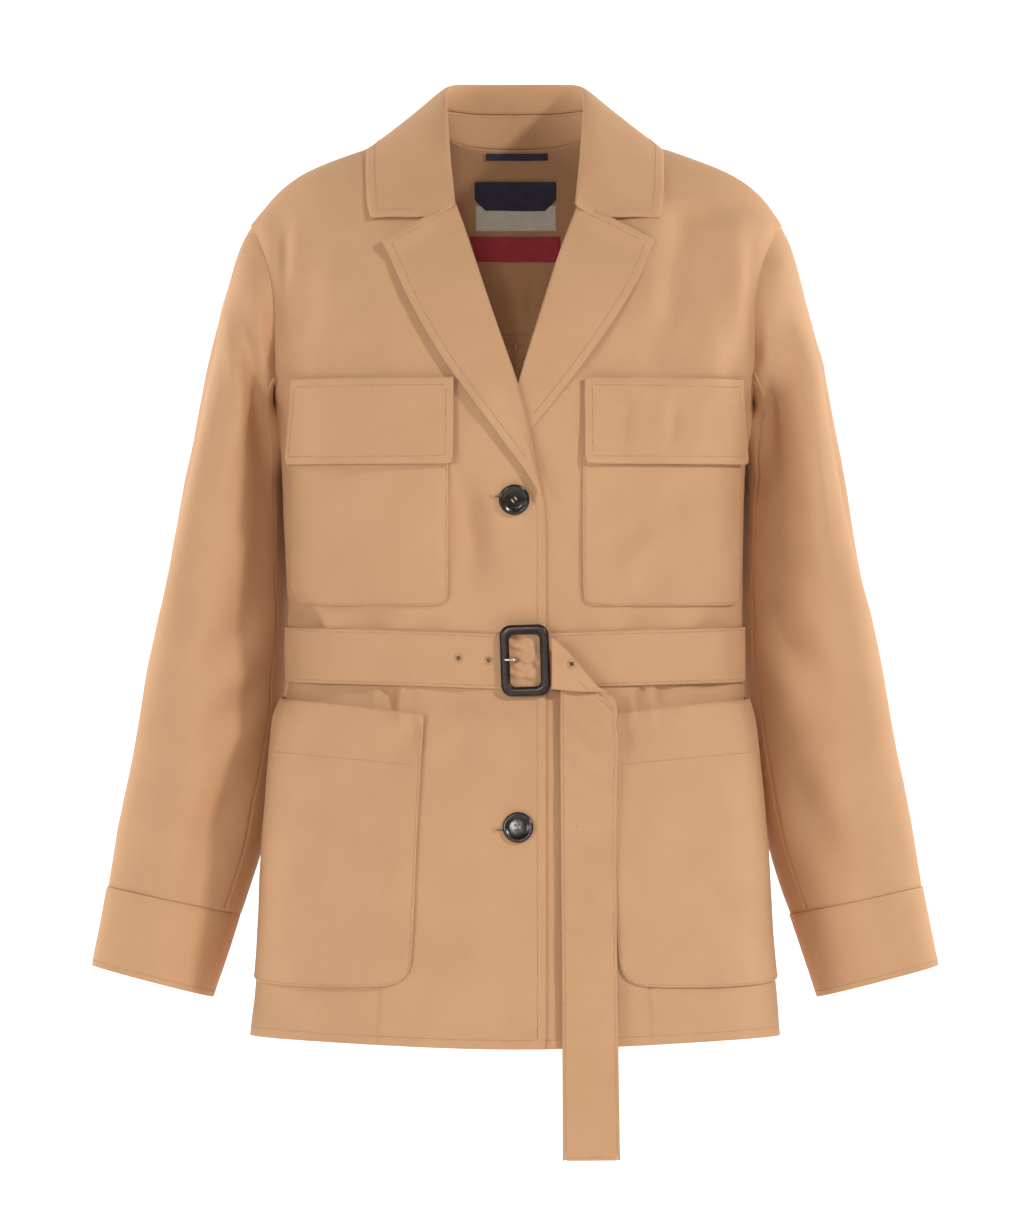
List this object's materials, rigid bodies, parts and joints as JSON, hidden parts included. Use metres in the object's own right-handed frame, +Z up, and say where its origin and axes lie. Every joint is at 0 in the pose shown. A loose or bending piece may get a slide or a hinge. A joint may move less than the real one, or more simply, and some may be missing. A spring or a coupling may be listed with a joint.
{
  "type": "belted jacket",
  "caption": "Hip-length belted cotton jacket with a lapel collar, flapped chest pockets, hip patch pockets and a hanging belt tail, filled out and hollow.",
  "frame": {"origin": "in the neck opening, on the middle plane, level with the seam of collar and back", "axes": "+Z up, the front faces -Y, the wearer's left side is +X"},
  "size_m": [0.6976, 0.2998, 0.8789],
  "materials": {
    "cloth": "camel cotton gabardine",
    "leather": "smooth, dark brown",
    "steel": "satin",
    "horn": "polished dark brown horn",
    "navy_ribbon": "woven navy satin ribbon",
    "cream_ribbon": "woven cream ribbon",
    "red_ribbon": "woven red ribbon"
  },
  "bodies": {
    "root": {"front_right": "cloth", "front_left": "cloth", "back_right": "cloth", "back_left": "cloth", "back_yoke": "cloth", "lapel_right": "cloth", "lapel_left": "cloth", "collar_stand": "cloth", "collar_leaf": "cloth", "sleeve_upper_right": "cloth", "sleeve_under_right": "cloth", "cuff_right": "cloth", "sleeve_upper_left": "cloth", "sleeve_under_left": "cloth", "cuff_left": "cloth", "chest_pocket_right": "cloth", "chest_flap_right": "cloth", "chest_pocket_left": "cloth", "chest_flap_left": "cloth", "hip_pocket_right": "cloth", "hip_pocket_left": "cloth", "belt": "cloth", "belt_tail": "cloth", "buckle_frame": "leather", "buckle_prong": "steel", "button_chest": "horn", "button_hip": "horn", "label_upper": "navy_ribbon", "label_tab": "cream_ribbon", "label_lower": "red_ribbon", "neck_tape": "navy_ribbon"}
  },
  "joints": []
}
